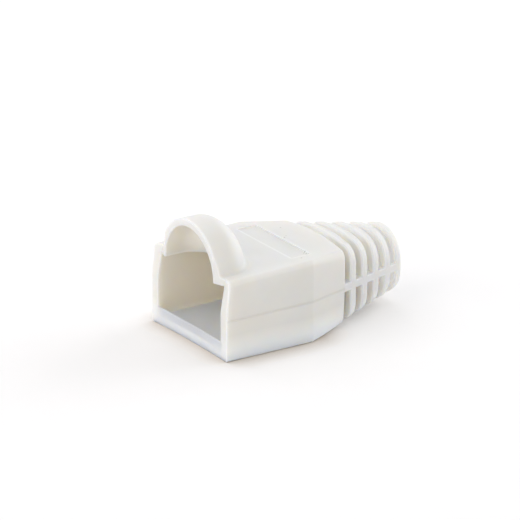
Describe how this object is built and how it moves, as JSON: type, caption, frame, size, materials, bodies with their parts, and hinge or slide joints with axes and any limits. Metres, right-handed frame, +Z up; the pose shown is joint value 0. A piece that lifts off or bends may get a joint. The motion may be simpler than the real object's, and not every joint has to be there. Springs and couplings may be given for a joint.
{
  "type": "cable strain relief boot",
  "caption": "Soft boot that slides over a modular network plug: square mouth, arched latch hood and a slotted, tapering cable tail.",
  "frame": {"origin": "under the middle of the boot, on the plane of its flat bottom face, midway between the mouth and the cable end", "axes": "+X from the plug mouth to the cable end along the cable bore, +Y across the boot, +Z up towards the latch hood"},
  "size_m": [0.0234, 0.014, 0.0129],
  "materials": {
    "moulding": "soft flexible plastic, pale warm grey, satin as moulded"
  },
  "bodies": {
    "root": {"boot": "moulding"}
  },
  "joints": []
}
